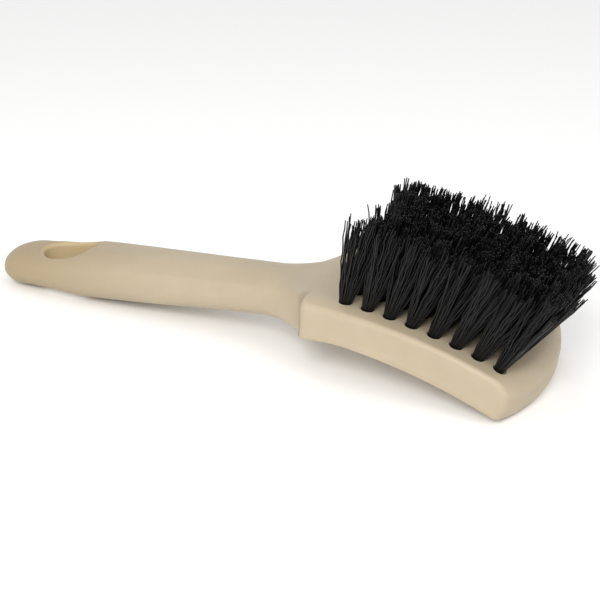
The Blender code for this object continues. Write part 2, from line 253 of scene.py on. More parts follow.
def middle_thickness(station):
    """The thickness along the middle, where the neck runs out under the head as a low keel."""
    if station <= RISE_STATION:
        return 2 * half_thickness(station)
    knots = ((RISE_STATION, 2 * NECK_HALF_THICKNESS), (KEEL_END_STATION, HEAD_THICKNESS))
    return eased(knots, station)


def rounding(station, width, radius, tail_fullness):
    """Reach, height and fullness of a rounded long edge, which has the given radius on the head."""
    share = ease((station - NECK_STATION) / (EDGE_SETTLED_STATION - NECK_STATION))
    reach = width + (radius - width) * share
    height = half_thickness(station) + (radius - half_thickness(station)) * share
    fullness = eased(((TAIL_RADIUS, tail_fullness), (GRIP_STATION, HANDLE_FULLNESS)), station)
    fullness += (2 - fullness) * share
    return reach, height, fullness


def arc(centre, radius, start, end, steps):
    """Points and outward directions round an arc, without its first point."""
    found = []
    for i in range(1, steps + 1):
        angle = start + (end - start) * i / steps
        way = (math.cos(angle), math.sin(angle))
        found.append(((centre[0] + radius * way[0], centre[1] + radius * way[1]), way))
    return found


def hole_point(angle, sunk_share):
    """Plan point of the hang hole's lining at an angle from its tail end. The share sunk is 0 at its
    rim and 1 on its wall."""
    rim = HANG_HOLE_RIM
    power = 1.0
    if angle < math.pi / 2:
        # Towards the tail the rim runs out in a shallow dish.
        rim += (HANG_HOLE_DISH - HANG_HOLE_RIM) * math.cos(angle) ** HANG_HOLE_DISH_POWER
    else:
        power = 2 / HANG_HOLE_SQUARENESS
    out = rim * (1 - sunk_share)
    along = math.copysign(abs(math.cos(angle)) ** power, math.cos(angle))
    station = HANG_HOLE_STATION - (HANG_HOLE_HALF_LENGTH + out) * along
    return station, (HANG_HOLE_HALF_WIDTH + out) * max(math.sin(angle), 0.0) ** power


def handle_outline():
    """The outline's half from the tail to the neck: points, outward directions, and the angle round
    the hang hole where they lie beside it."""
    outline = [((0.0, 0.0), (-1.0, 0.0), None)]
    for point, way in arc((TAIL_RADIUS, 0), TAIL_RADIUS, math.pi, math.pi / 2, TAIL_STEPS):
        outline.append((point, way, None))
    for i in range(HANG_HOLE_STEPS + 1):
        angle = math.pi * i / HANG_HOLE_STEPS
        station = hole_point(angle, 0.0)[0]
        outline.append(((station, half_width(station)), (0.0, 1.0), angle))
    start = hole_point(math.pi, 0.0)[0]
    for i in range(1, HANDLE_STEPS + 1):
        station = start + (NECK_STATION - start) * i / HANDLE_STEPS
        outline.append(((station, half_width(station)), (0.0, 1.0), None))
    return outline


def head_outline():
    """The outline's half from the neck, by the flare, crease, shoulder and side, to the toe."""
    centre = (NECK_STATION, NECK_HALF_WIDTH + FLARE_RADIUS)
    found = []
    for i in range(1, FLARE_STEPS + 1):
        turn = FLARE_TURN * i / FLARE_STEPS
        way = (-math.sin(turn), math.cos(turn))
        point = (centre[0] - FLARE_RADIUS * way[0], centre[1] - FLARE_RADIUS * way[1])
        found.append((point, way))
    # The crease turns on more tightly until the outline runs straight across.
    end, way = found[-1]
    centre = (end[0] + CREASE_RADIUS * way[0], end[1] + CREASE_RADIUS * way[1])
    for i in range(1, CREASE_STEPS):
        turn = FLARE_TURN + (math.pi / 2 - FLARE_TURN) * i / CREASE_STEPS
        way = (-math.sin(turn), math.cos(turn))
        point = (centre[0] - CREASE_RADIUS * way[0], centre[1] - CREASE_RADIUS * way[1])
        found.append((point, way))
    back = centre[0] + CREASE_RADIUS
    corner = (back + SHOULDER_RADIUS, HEAD_HALF_WIDTH - SHOULDER_RADIUS)
    found.append(((back, corner[1]), (-1.0, 0.0)))
    found += arc(corner, SHOULDER_RADIUS, math.pi, math.pi / 2, SHOULDER_STEPS)
    # The toe bows outwards, and a smaller arc rounds its corner.
    bow = (HEAD_HALF_WIDTH**2 + TOE_BOW**2) / (2 * TOE_BOW)
    end = SHOULDER_STATION + HEAD_LENGTH
    bow_centre = end - bow
    inner = HEAD_HALF_WIDTH - TOE_CORNER_RADIUS
    toe_corner = (bow_centre + math.sqrt((bow - TOE_CORNER_RADIUS) ** 2 - inner**2), inner)
    meet = math.atan2(inner, toe_corner[0] - bow_centre)
    start = corner[0]
    for i in range(1, SIDE_STEPS + 1):
        station = start + (toe_corner[0] - start) * math.sin(math.pi / 2 * i / SIDE_STEPS)
        found.append(((station, HEAD_HALF_WIDTH), (0.0, 1.0)))
    found += arc(toe_corner, TOE_CORNER_RADIUS, math.pi / 2, meet, TOE_CORNER_STEPS)
    found += arc((bow_centre, 0), bow, meet, 0, TOE_STEPS)
    return [(point, way, None) for point, way in found]


def edge_drop(share, fullness):
    """A rounded edge's drop, as a share of its height, at a share of its reach."""
    return 1 - (1 - (1 - share) ** fullness) ** (1 / fullness)


def ridged_drop(share):
    """A drop like edge_drop's, of a crowned face that meets a steep side in a soft ridge."""
    out = 1 - share
    crown = 1 - RIDGE_DROP * (out / RIDGE_REACH) ** 2
    side = share / (1 - RIDGE_REACH) * (1 - RIDGE_DROP)
    mix = min(max(0.5 + 0.5 * (side - crown) / RIDGE_BLEND, 0.0), 1.0)
    return 1 - max(side + (crown - side) * mix - RIDGE_BLEND * mix * (1 - mix), 0.0)


def face_and_edge(point, way, hole_angle, rounded, ridge=0.0):
    """Plan points from the middle, or the hang hole's rim, out to the outline, with their drops."""
    station, across = point
    reach, height, fullness = rounded
    found = []
    first = math.pi / 2
    if hole_angle is not None:
        rim = hole_point(hole_angle, 0.0)[1]
        first = math.acos((rim / across) ** (fullness / 2))
        found += [(station, rim, height * edge_drop(1 - rim / across, fullness))] * FACE_STEPS
    elif ridge:
        # The whole half of the face is crowned, so its points spread out from the middle.
        found += [(station, 0.0, -RIDGE_LIFT * ridge)] * FACE_STEPS
    else:
        inner = (station - reach * way[0], across - reach * way[1])
        found += [(inner[0], inner[1] * i / FACE_STEPS, 0.0) for i in range(FACE_STEPS)]
    for i in range(EDGE_STEPS + 1):
        share = 1 - math.cos(first * (1 - i / EDGE_STEPS)) ** (2 / fullness)
        share = min(max(share, 0.0), 1.0)
        x = station - share * reach * way[0]
        y = across - share * reach * way[1]
        drop = edge_drop(share, fullness)
        if ridge:
            drop += (ridged_drop(share) - drop) * ridge
        found.append((x, y, height * drop - RIDGE_LIFT * ridge * (1 - drop)))
    return found


def side_roll(station, across):
    """How far the top face has rolled over towards the side, most at the shoulder."""
    share = max(1 - (HEAD_HALF_WIDTH - abs(across)) / SIDE_ROLL_REACH, 0.0)
    return SIDE_ROLL_DROP * share**2 * (1 - ease((station - SHOULDER_STATION) / SIDE_ROLL_LENGTH))


def toe_roll(station, across):
    """How far the top face has rolled over towards the toe at a plan point."""
    bow = (HEAD_HALF_WIDTH**2 + TOE_BOW**2) / (2 * TOE_BOW)
    bow_centre = SHOULDER_STATION + HEAD_LENGTH - bow
    if station < bow_centre:
        return 0.0
    inside = bow - math.hypot(station - bow_centre, across)
    return TOE_ROLL_DROP * max(1 - inside / TOE_ROLL_REACH, 0.0) ** 2


def shell_ring(point, way, hole_angle):
    """One section of half the block, from the top's middle round the edge to the back's middle."""
    station, across = point
    width = TAIL_RADIUS if station < TAIL_RADIUS else across
    ridge = 0.0
    if station > RIDGE_START_STATION:
        ridge = ease((station - RIDGE_START_STATION) / (RIDGE_FULL_STATION - RIDGE_START_STATION))
        ridge *= 1 - ease((station - RIDGE_FADE_STATION) / (RISE_STATION - RIDGE_FADE_STATION))
    rounded = rounding(station, width, EDGE_RADIUS, TAIL_FULLNESS)
    top = face_and_edge(point, way, hole_angle, rounded, ridge)
    top = [(x, y, drop + toe_roll(x, y) + side_roll(x, y)) for x, y, drop in top]
    ring = [placed(*step) for step in top]
    # A small lip runs round the bottom of the head's side and toe.
    side_lip = ease((across - LIP_SIDE_START) / LIP_SIDE_EASE)
    lip = LIP * max(side_lip, ease((station - KEEL_END_STATION) / LIP_TOE_EASE))
    point = (station + lip * way[0], across + lip * way[1])
    rounded = rounding(station, width, BACK_EDGE_RADIUS, TAIL_BACK_FULLNESS)
    back = face_and_edge(point, way, hole_angle, rounded)
    widest = max(across, NECK_HALF_WIDTH)
    top_end = top[-1]
    wall = []
    for x, y, drop in reversed(back):
        edge = edge_thickness(x)
        out = min(abs(y) / widest, 1.0)
        under = edge + (middle_thickness(x) - edge) * (1 - out * out) ** 2
        wall.append((x, y, under - drop))
    # The toe's face bulges a little between its two edges, and the lip grows out at the bottom.
    for i in range(1, WALL_STEPS):
        share = i / WALL_STEPS
        bulge = 4 * share * (1 - share) * TOE_BULGE * max(way[0], 0.0) + lip * share**LIP_POWER
        depth = top_end[2] + (wall[0][2] - top_end[2]) * share
        ring.append(placed(station + bulge * way[0], across + bulge * way[1], depth))
    return ring + [placed(*step) for step in wall]


def hole_ring(point, hole_angle):
    """One section of the hang hole's lining, from the back's rim up to the top's."""
    lining = []
    for i in range(RIM_STEPS + 1):
        turn = math.pi / 2 * i / RIM_STEPS
        sunk = HANG_HOLE_RIM_DEPTH * (1 - math.cos(turn))
        x, y = hole_point(hole_angle, math.sin(turn))
        share = 1 - y / half_width(x)
        depths = []
        for tail_fullness in (TAIL_FULLNESS, TAIL_BACK_FULLNESS):
            fullness = rounding(x, half_width(x), EDGE_RADIUS, tail_fullness)[2]
            depths.append(half_thickness(x) * edge_drop(share, fullness) + sunk)
        lining.append((placed(x, y, depths[0]), placed(x, y, 2 * half_thickness(x) - depths[1])))
    return [back for _, back in lining] + [top for top, _ in reversed(lining)]


def add_grid(mesh, rings):
    """Faces between neighbouring rings of points."""
    rows = [[mesh.verts.new(point) for point in ring] for ring in rings]
    for near, far in zip(rows, rows[1:]):
        for j in range(len(near) - 1):
            mesh.faces.new((near[j], far[j], far[j + 1], near[j + 1]))


def add_object(name, mesh):
    """An object holding a bmesh, which is freed."""
    data = bpy.data.meshes.new(name)
    mesh.to_mesh(data)
    mesh.free()
    made = bpy.data.objects.new(name, data)
    bpy.context.scene.collection.objects.link(made)
    return made


def add_cut(target, cutter):
    cut = target.modifiers.new(cutter.name, "BOOLEAN")
    cut.operation = "DIFFERENCE"
    cut.solver = "EXACT"
    cut.object = cutter


def settled(made, name):
    """A new object with the plain mesh that the given one's modifiers make, in its place."""
    bpy.context.view_layer.update()
    graph = bpy.context.evaluated_depsgraph_get()
    data = bpy.data.meshes.new_from_object(made.evaluated_get(graph), depsgraph=graph)
    bpy.data.objects.remove(made, do_unlink=True)
    data.name = name
    plain = bpy.data.objects.new(name, data)
    bpy.context.scene.collection.objects.link(plain)
    return plain


def tuft_matrix(row, place):
    """Where a tuft's hole meets the top face, with Z along the tuft."""
    along = FIRST_TUFT + TUFT_PITCH * place
    across = ROW_PITCH * (row - (ROWS - 1) / 2)
    station = SHOULDER_STATION + along
    splay = NEAR_SPLAY + (FAR_SPLAY - NEAR_SPLAY) * row / (ROWS - 1)
    splay += TOE_SPLAY * place / (TUFTS_IN_ROW - 1)
    lean = tilt(station) + splay
    return Matrix.Translation(placed(station, across, 0.0)) @ Matrix.Rotation(lean, 4, "Y")


half = bmesh.new()
outline = handle_outline() + head_outline()
add_grid(half, [shell_ring(*entry) for entry in outline])
add_grid(half, [hole_ring(point, angle) for point, _, angle in outline if angle is not None])
bmesh.ops.remove_doubles(half, verts=half.verts[:], dist=MERGE_DISTANCE)
shell = add_object("shell", half)
mirror = shell.modifiers.new("other half", "MIRROR")
mirror.use_axis = (False, True, False)
mirror.merge_threshold = MERGE_DISTANCE

# The plane of the table trims a flat under the tail and another under the toe.
ground = bmesh.new()
ground_size = (1.5 * (SHOULDER_STATION + HEAD_LENGTH), 2 * HEAD_WIDTH, GROUND_DEPTH)
bmesh.ops.create_cube(ground, size=1.0)
bmesh.ops.scale(ground, vec=ground_size, verts=ground.verts)
bmesh.ops.translate(ground, vec=(0, 0, -GROUND_DEPTH / 2), verts=ground.verts)
resting_flats = add_object("resting_flats", ground)
add_cut(shell, resting_flats)

drills = bmesh.new()
for row in range(ROWS):
    for place in range(TUFTS_IN_ROW):
        at = tuft_matrix(row, place)
        bmesh.ops.create_cone(
            drills,
            cap_ends=True,
            segments=DRILL_SIDES,
            radius1=HOLE_RADIUS,
            radius2=HOLE_RADIUS,
            depth=DRILL_START + HOLE_DEPTH,
            matrix=at @ Matrix.Translation((0, 0, (DRILL_START - HOLE_DEPTH) / 2)),
        )
tuft_holes = add_object("tuft_holes", drills)
add_cut(shell, tuft_holes)

block = settled(shell, "moulded_block")
for cutter in (resting_flats, tuft_holes):
    bpy.data.objects.remove(cutter, do_unlink=True)
block.data.shade_smooth()
block.data.set_sharp_from_angle(angle=SHARP_ANGLE)
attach(block, "root")
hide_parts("block")


# Cream plastic: the block's polypropylene, with the satin finish and the fine grain of a lightly
# blasted mould. It is faintly cloudy, and its colour is painted deeper towards the tail as shade.
CREAM = (0.404, 0.334, 0.234, 1.0)
PALE_CREAM = (0.433, 0.361, 0.256, 1.0)
CLOUD_SCALE = 55.0
SPECK_SCALE = 900.0
GRAIN_SCALE = 4200.0
GRAIN_STRENGTH = 0.12
GRAIN_DEPTH = 0.06 * MM
SATIN_LEAST = 0.40
SATIN_MOST = 0.56
GLOW_DEPTH = 2.0 * MM
TAIL_SHADE_CREAM = (0.343, 0.268, 0.160, 1.0)
TAIL_SHADE_LENGTH = 85 * MM
CREASE_SHADE_CREAM = (0.19, 0.145, 0.090, 1.0)
CREASE_SHADE = 0.5
CREASE_SHADE_LENGTH = 9 * MM
CREASE_SHADE_FADE = 0.8 * MM
CREASE_SHADE_SHIFT = 0.3 * MM
CREASE_SHADE_START = 10 * MM
CREASE_SHADE_SETTLED = 5 * MM
LINING_LIGHT_CREAM = (0.49, 0.388, 0.232, 1.0)
LINING_LIGHT_START = 0.92
LINING_LIGHT_SETTLED = 0.7


def add_node(tree, kind, inputs=(), **settings):
    """A node whose inputs, named or numbered, are set to values or linked to sockets."""
    made = tree.nodes.new(kind)
    for name, value in settings.items():
        setattr(made, name, value)
    for name, value in dict(inputs).items():
        if isinstance(value, bpy.types.NodeSocket):
            tree.links.new(value, made.inputs[name])
        else:
            made.inputs[name].default_value = value
    return made


def new_material(name):
    """A material, its tree, its Principled shader and its object coordinates."""
    made = bpy.data.materials.new(name)
    made.use_nodes = True
    tree = made.node_tree
    coords = add_node(tree, "ShaderNodeTexCoord").outputs["Object"]
    return made, tree, tree.nodes["Principled BSDF"], coords


def noise(tree, where, scale, detail=2.0, roughness=0.5):
    """A cloudy pattern from 0 to 1."""
    inputs = {"Vector": where, "Scale": scale, "Detail": detail, "Roughness": roughness}
    return add_node(tree, "ShaderNodeTexNoise", inputs).outputs["Fac"]


def toned(tree, share, low_colour, high_colour, low, high):
    """A colour that turns from one to another as a share goes from low to high."""
    made = add_node(tree, "ShaderNodeValToRGB", {"Fac": share})
    ends = made.color_ramp.elements
    ends[0].position = low
    ends[0].color = low_colour
    ends[1].position = high
    ends[1].color = high_colour
    return made.outputs["Color"]


def mixed(tree, share, colour, other):
    """A colour mixed with another by a share; the node's two colour inputs are numbers 6 and 7."""
    inputs = {"Factor": share, 6: colour, 7: other}
    return add_node(tree, "ShaderNodeMix", inputs, data_type="RGBA").outputs[2]


def bumped(tree, height, strength, distance):
    """A surface normal with a fine relief."""
    inputs = {"Height": height, "Strength": strength, "Distance": distance}
    return add_node(tree, "ShaderNodeBump", inputs).outputs["Normal"]


def ranged(tree, value, low, high):
    """A 0 to 1 socket carried to another range."""
    inputs = {"Value": value, "To Min": low, "To Max": high}
    return add_node(tree, "ShaderNodeMapRange", inputs).outputs[0]


def calc(tree, operation, *values):
    return add_node(tree, "ShaderNodeMath", enumerate(values), operation=operation).outputs[0]


def vector_calc(tree, operation, *values):
    """A vector sum's result: a vector, or a number for a dot product."""
    made = add_node(tree, "ShaderNodeVectorMath", enumerate(values), operation=operation)
    return made.outputs[1 if operation == "DOT_PRODUCT" else 0]


def smooth_range(tree, value, none, full):
    """How far a value has come from one that gives 0 to one that gives 1, smoothly."""
    inputs = {"Value": value, "From Min": none, "From Max": full}
    made = add_node(tree, "ShaderNodeMapRange", inputs, interpolation_type="SMOOTHSTEP")
    return made.outputs[0]


cream, tree, surface, coords = new_material("cream_plastic")
cloud = noise(tree, coords, CLOUD_SCALE, detail=3.0, roughness=0.55)
speck = noise(tree, coords, SPECK_SCALE)
grain = noise(tree, coords, GRAIN_SCALE)
along, across, _ = add_node(tree, "ShaderNodeSeparateXYZ", {"Vector": coords}).outputs
tone = toned(tree, cloud, CREAM, PALE_CREAM, low=0.3, high=0.7)
# Painted shade: the colour deepens towards the tail, standing in for the dimmer light there.
tail_shade = smooth_range(tree, along, TAIL_X + TAIL_SHADE_LENGTH, TAIL_X)
tone = mixed(tree, tail_shade, tone, TAIL_SHADE_CREAM)
# Painted shade: the colour darkens towards the crease, and only near the head's sides.
crease_x = TAIL_X + NECK_STATION + FLARE_RADIUS * math.sin(FLARE_TURN) + CREASE_SHADE_SHIFT
crease_shade = calc(
    tree,
    "MULTIPLY",
    smooth_range(tree, along, crease_x - CREASE_SHADE_LENGTH, crease_x),
    smooth_range(tree, along, crease_x + CREASE_SHADE_FADE, crease_x),
)
beside = smooth_range(
    tree,
    calc(tree, "ABSOLUTE", across),
    HEAD_HALF_WIDTH - CREASE_SHADE_START,
    HEAD_HALF_WIDTH - CREASE_SHADE_SETTLED,
)
crease_shade = calc(tree, "MULTIPLY", calc(tree, "MULTIPLY", crease_shade, beside), CREASE_SHADE)
tone = mixed(tree, crease_shade, tone, CREASE_SHADE_CREAM)
# Painted light: the hang hole's lining is given a paler colour, standing in for the light that fills
# it.
inside = vector_calc(tree, "SUBTRACT", coords, (TAIL_X + HANG_HOLE_STATION, 0.0, 0.0))
reach = (HANG_HOLE_HALF_LENGTH + HANG_HOLE_RIM, HANG_HOLE_HALF_WIDTH + HANG_HOLE_RIM)
inside = vector_calc(tree, "MULTIPLY", inside, (1 / reach[0], 1 / reach[1], 0.0))
inside = vector_calc(tree, "DOT_PRODUCT", inside, inside)
tone = mixed(tree, smooth_range(tree, inside, LINING_LIGHT_START, LINING_LIGHT_SETTLED), tone, LINING_LIGHT_CREAM)
tree.links.new(tone, surface.inputs["Base Color"])
tree.links.new(ranged(tree, speck, SATIN_LEAST, SATIN_MOST), surface.inputs["Roughness"])
tree.links.new(bumped(tree, grain, GRAIN_STRENGTH, GRAIN_DEPTH), surface.inputs["Normal"])
surface.inputs["Specular IOR Level"].default_value = 0.4
surface.inputs["Subsurface Weight"].default_value = 0.15
surface.inputs["Subsurface Radius"].default_value = (1.0, 0.6, 0.25)
surface.inputs["Subsurface Scale"].default_value = GLOW_DEPTH
block.data.materials.clear()
block.data.materials.append(cream)


# Black filament: solid-coloured polypropylene monofilament with a dull sheen. The draw marks along
# it and a trace of dust break up its gloss.
BLACK = (0.0019, 0.0019, 0.0022, 1.0)
DUSTY_BLACK = (0.0050, 0.0050, 0.0054, 1.0)
DUST_SCALE = 260.0
DRAW_MARK_SCALE = (2600.0, 2600.0, 260.0)
DRAW_MARK_STRENGTH = 0.2
DRAW_MARK_DEPTH = 0.03 * MM
SHEEN_LEAST = 0.30
SHEEN_MOST = 0.56

black, tree, surface, coords = new_material("black_bristle")
dust = noise(tree, coords, DUST_SCALE)
tone = toned(tree, dust, BLACK, DUSTY_BLACK, low=0.35, high=0.75)
streak = add_node(tree, "ShaderNodeMapping", {"Vector": coords, "Scale": DRAW_MARK_SCALE})
streak = noise(tree, streak.outputs[0], 1.0)
tree.links.new(tone, surface.inputs["Base Color"])
marked = bumped(tree, streak, DRAW_MARK_STRENGTH, DRAW_MARK_DEPTH)
tree.links.new(ranged(tree, streak, SHEEN_LEAST, SHEEN_MOST), surface.inputs["Roughness"])
tree.links.new(marked, surface.inputs["Normal"])
surface.inputs["Specular IOR Level"].default_value = 0.33


# Bristle tufts: each is a bunch of stiff, lightly crimped black filaments folded over a flat wire
# anchor and driven into its hole. They leave the hole packed tight, open out as they rise and are
# trimmed level, so the tips of neighbouring tufts mingle.
TRIM_LENGTH = 27.3 * MM
FILAMENTS = 72
FILAMENT_RADIUS = 0.245 * MM
PACKED_RADIUS = 1.8 * MM
FILAMENT_SIDES = 5
LOCK_UNEVENNESS = 1.8
FILAMENT_UNEVENNESS = 0.4
LOCK_SHIFT = 7.31
GATHER_RATE = 1.6
LEAN_POWER = 1.3
STRAY_POWER = 1.5
STRAY_RARITY = 8.0
STRAY_EVERYWHERE = 0.26
CRIMP_RATE = 3.0
BEND_POWER = 0.4
TIP_POWER = 12.0
SEED_GAP = 1000

COLUMN_BOW = 3.2 * MM
FIRST_HEEL_REACH = 0.7
LAST_TOE_REACH = 0.6
NEAR_ROW_REACH = 0.78
FAR_ROW_REACH = 0.86
NEAR_ROWS_SCATTER = (3.0 * MM, 2.4 * MM)
CORNER_TUFT = {"Lock Lean": 1.0 * MM, "Lock Gather": 0.1, "Heel Reach": 1.2, "Stray": 1.2 * MM}
SEEDS_IN_ROW = 31


def new_group(name, settings):
    """A geometry node group with named inputs, and a dictionary of their sockets."""
    made = bpy.data.node_groups.new(name, "GeometryNodeTree")
    for label, (kind, value) in settings.items():
        socket = made.interface.new_socket(label, in_out="INPUT", socket_type="NodeSocket" + kind)
        if value is not None:
            socket.default_value = value
    made.interface.new_socket("Geometry", in_out="OUTPUT", socket_type="NodeSocketGeometry")
    inlet = made.nodes.new("NodeGroupInput")
    return made, {label: inlet.outputs[label] for label in settings}


def scaled(tree, vector, factor):
    made = add_node(tree, "ShaderNodeVectorMath", {0: vector, "Scale": factor}, operation="SCALE")
    return made.outputs[0]


def around(tree, turn, reach):
    """A vector across the tuft, from a turn in radians and a length."""
    x = calc(tree, "MULTIPLY", calc(tree, "COSINE", turn), reach)
    y = calc(tree, "MULTIPLY", calc(tree, "SINE", turn), reach)
    return add_node(tree, "ShaderNodeCombineXYZ", {"X": x, "Y": y}).outputs[0]


def chances(tree, which, seed):
    """Three random shares for each filament."""
    made = add_node(
        tree,
        "FunctionNodeRandomValue",
        {"Min": (0.0, 0.0, 0.0), "Max": (1.0, 1.0, 1.0), "ID": which, "Seed": seed},
        data_type="FLOAT_VECTOR",
    )
    return add_node(tree, "ShaderNodeSeparateXYZ", {"Vector": made.outputs[0]}).outputs


tuft_group, given = new_group(
    "bristle tuft",
    {
        "Filaments": ("Int", FILAMENTS),
        "Filament Radius": ("Float", FILAMENT_RADIUS),
        "Packed Radius": ("Float", PACKED_RADIUS),
        "Length": ("Float", TRIM_LENGTH),
        "Sunk": ("Float", 3.0 * MM),
        "Scatter": ("Float", 1.6 * MM),
        "Opening": ("Float", 2.7),
        "Opening Power": ("Float", 0.86),
        "Stray": ("Float", 3.6 * MM),
        "Lock Size": ("Float", 1.6 * MM),
        "Lock Gather": ("Float", 0.4),
        "Lock Lean": ("Float", 4.0 * MM),
        "Toe Reach": ("Float", 1.0),
        "Heel Reach": ("Float", 1.0),
        "Near Reach": ("Float", 1.0),
        "Far Reach": ("Float", 1.0),
        "Toe Bend": ("Float", 0.0),
        "Tip": ("Float", 0.75),
        "Crimp": ("Float", 0.26 * MM),
        "Crimp Pitch": ("Float", 8.5 * MM),
        "Points": ("Int", 12),
        "Seed": ("Int", 0),
        "Material": ("Material", None),
    },
)
tree = tuft_group
# The roots stand in a sunflower's spiral, and a straight line rises from each.
index = add_node(tree, "GeometryNodeInputIndex").outputs[0]
turn = calc(tree, "MULTIPLY", index, math.pi * (3 - math.sqrt(5)))
spread = calc(tree, "DIVIDE", calc(tree, "ADD", index, 0.5), given["Filaments"])
spread = calc(tree, "MULTIPLY", calc(tree, "SQRT", spread), given["Packed Radius"])
root = around(tree, turn, spread)
roots = add_node(tree, "GeometryNodePoints", {"Count": given["Filaments"], "Position": root})
line = add_node(tree, "GeometryNodeCurvePrimitiveLine", {"Start": (0, 0, 0), "End": (0, 0, 1)})
line = add_node(
    tree, "GeometryNodeResampleCurve", {"Curve": line.outputs[0], "Count": given["Points"]}
)
bunch = add_node(
    tree,
    "GeometryNodeInstanceOnPoints",
    {"Points": roots.outputs[0], "Instance": line.outputs[0]},
)
bunch = add_node(tree, "GeometryNodeRealizeInstances", {"Geometry": bunch.outputs[0]})
which = add_node(tree, "GeometryNodeFieldOnDomain", domain="CURVE", data_type="INT")
tree.links.new(index, which.inputs[0])
which = which.outputs[0]
first = chances(tree, which, given["Seed"])
second = chances(tree, which, calc(tree, "ADD", given["Seed"], SEED_GAP))
spot = add_node(tree, "GeometryNodeInputPosition").outputs[0]
spot = vector_calc(tree, "MULTIPLY", spot, (1.0, 1.0, 0.0))
# Filaments stand in locks, the cells of a random pattern, which gather, lean and end alike.
cell = calc(tree, "DIVIDE", 1.0, given["Lock Size"])
shift = calc(tree, "MULTIPLY", given["Seed"], LOCK_SHIFT)
shift = add_node(tree, "ShaderNodeCombineXYZ", {"Z": shift}).outputs[0]
where = vector_calc(tree, "ADD", scaled(tree, spot, cell), shift)
lock = add_node(tree, "ShaderNodeTexVoronoi", {"Vector": where, "Scale": 1.0})
heart = vector_calc(tree, "SUBTRACT", lock.outputs["Position"], shift)
heart = scaled(tree, heart, given["Lock Size"])
heart = vector_calc(tree, "MULTIPLY", heart, (1.0, 1.0, 0.0))
lean = vector_calc(tree, "SUBTRACT", lock.outputs["Color"], (0.5, 0.5, 0.5))
lock_end = add_node(tree, "ShaderNodeSeparateXYZ", {"Vector": lean}).outputs[2]
uneven = calc(tree, "MULTIPLY", calc(tree, "SUBTRACT", first[0], 0.5), FILAMENT_UNEVENNESS)
uneven = calc(tree, "ADD", uneven, calc(tree, "MULTIPLY", lock_end, LOCK_UNEVENNESS))
uneven = calc(tree, "MULTIPLY", uneven, given["Scatter"])
reach = calc(tree, "ADD", calc(tree, "ADD", given["Length"], uneven), given["Sunk"])
along = add_node(tree, "GeometryNodeSplineParameter").outputs["Factor"]
height = calc(tree, "SUBTRACT", calc(tree, "MULTIPLY", along, reach), given["Sunk"])
free = calc(tree, "MAXIMUM", calc(tree, "DIVIDE", height, given["Length"]), 0.0)
gather = calc(tree, "MINIMUM", calc(tree, "MULTIPLY", free, GATHER_RATE), 1.0)
gather = calc(tree, "MULTIPLY", gather, given["Lock Gather"])
gathered = scaled(tree, vector_calc(tree, "SUBTRACT", heart, spot), gather)
gathered = vector_calc(tree, "ADD", spot, gathered)
widening = calc(tree, "POWER", free, given["Opening Power"])
widening = calc(tree, "MULTIPLY", widening, given["Opening"])
opened = scaled(tree, gathered, calc(tree, "ADD", widening, 1.0))
leaning = calc(tree, "MULTIPLY", calc(tree, "POWER", free, LEAN_POWER), given["Lock Lean"])
lean = vector_calc(tree, "MULTIPLY", scaled(tree, lean, leaning), (1.0, 1.0, 0.0))
# A few filaments stray far, and the others a little.
wild = calc(tree, "MULTIPLY", first[2], STRAY_EVERYWHERE)
wild = calc(tree, "ADD", calc(tree, "POWER", first[2], STRAY_RARITY), wild)
wild = calc(tree, "MULTIPLY", wild, given["Stray"])
wild = calc(tree, "MULTIPLY", wild, calc(tree, "POWER", free, STRAY_POWER))
stray = around(tree, calc(tree, "MULTIPLY", first[1], math.tau), wild)
phase = calc(tree, "ADD", calc(tree, "DIVIDE", height, given["Crimp Pitch"]), second[0])
wave = calc(tree, "SINE", calc(tree, "MULTIPLY", phase, math.tau))
crimp = calc(tree, "MINIMUM", calc(tree, "MULTIPLY", free, CRIMP_RATE), 1.0)
crimp = calc(tree, "MULTIPLY", wave, calc(tree, "MULTIPLY", given["Crimp"], crimp))
crimp = around(tree, calc(tree, "MULTIPLY", second[1], math.tau), crimp)
out = spot
for part in (vector_calc(tree, "SUBTRACT", opened, spot), lean, stray, crimp):
    out = vector_calc(tree, "ADD", out, part)
# The spread towards each side can be drawn in, as along the outer side of the outermost tufts.
out = add_node(tree, "ShaderNodeSeparateXYZ", {"Vector": out}).outputs
toeward = calc(tree, "MULTIPLY", calc(tree, "MAXIMUM", out[0], 0.0), given["Toe Reach"])
heelward = calc(tree, "MULTIPLY", calc(tree, "MINIMUM", out[0], 0.0), given["Heel Reach"])
farward = calc(tree, "MULTIPLY", calc(tree, "MAXIMUM", out[1], 0.0), given["Far Reach"])
nearward = calc(tree, "MULTIPLY", calc(tree, "MINIMUM", out[1], 0.0), given["Near Reach"])
across = calc(tree, "ADD", farward, nearward)
bend = calc(tree, "MULTIPLY", calc(tree, "POWER", free, BEND_POWER), given["Toe Bend"])
toeward = calc(tree, "ADD", calc(tree, "ADD", toeward, heelward), bend)
path = add_node(tree, "ShaderNodeCombineXYZ", {"X": toeward, "Y": across, "Z": height}).outputs[0]
bunch = add_node(
    tree, "GeometryNodeSetPosition", {"Geometry": bunch.outputs[0], "Position": path}
)
ring = add_node(
    tree,
    "GeometryNodeCurvePrimitiveCircle",
    {"Resolution": FILAMENT_SIDES, "Radius": given["Filament Radius"]},
)
# Each filament narrows a little at its cut end.
narrow = calc(tree, "POWER", along, TIP_POWER)
narrow = calc(tree, "MULTIPLY", narrow, calc(tree, "SUBTRACT", 1.0, given["Tip"]))
strands = add_node(
    tree,
    "GeometryNodeCurveToMesh",
    {
        "Curve": bunch.outputs[0],
        "Profile Curve": ring.outputs[0],
        "Scale": calc(tree, "SUBTRACT", 1.0, narrow),
        "Fill Caps": True,
    },
)
whole = add_node(tree, "GeometryNodeRealizeInstances", {"Geometry": strands.outputs[0]})
whole = add_node(
    tree,
    "GeometryNodeSetMaterial",
    {"Geometry": whole.outputs[0], "Material": given["Material"]},
)
outlet = tree.nodes.new("NodeGroupOutput")
tree.links.new(whole.outputs[0], outlet.inputs[0])


